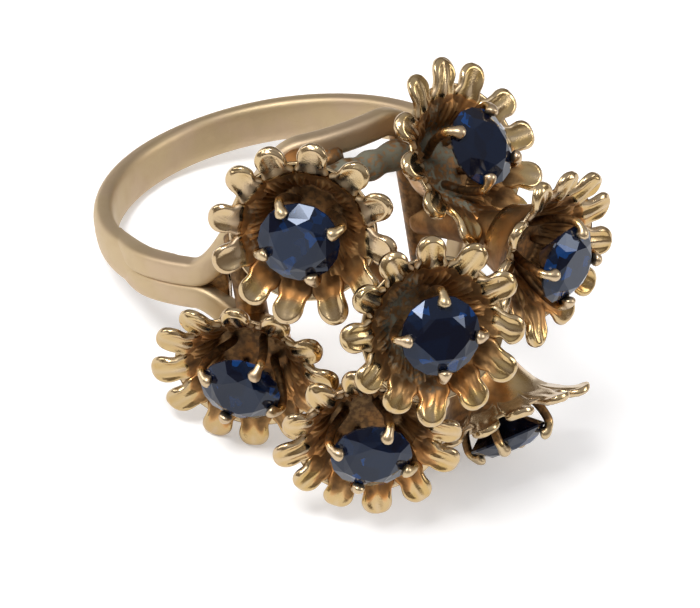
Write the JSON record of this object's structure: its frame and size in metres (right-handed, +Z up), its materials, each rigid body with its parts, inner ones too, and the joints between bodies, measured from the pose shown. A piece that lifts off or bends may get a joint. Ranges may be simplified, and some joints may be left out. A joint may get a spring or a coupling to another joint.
{
  "type": "cluster ring",
  "caption": "Cluster ring with a plain band, forked shoulders and a domed bouquet of petalled flower cups, each claw-set with a round cut stone.",
  "frame": {"origin": "bottom centre of the box round the ring as it lies on its side, on the surface that it lies on", "axes": "+Z up from that surface, -Y towards the head with its flowers, +X across the band"},
  "size_m": [0.0218, 0.029, 0.0192],
  "materials": {
    "gold": "polished yellow gold, tarnished in the hollows",
    "sapphire": "faceted and polished dark blue stone"
  },
  "bodies": {
    "root": {"ring_mount": "gold", "sapphire_1": "sapphire", "sapphire_2": "sapphire", "sapphire_3": "sapphire", "sapphire_4": "sapphire", "sapphire_5": "sapphire", "sapphire_6": "sapphire", "sapphire_7": "sapphire"}
  },
  "joints": []
}
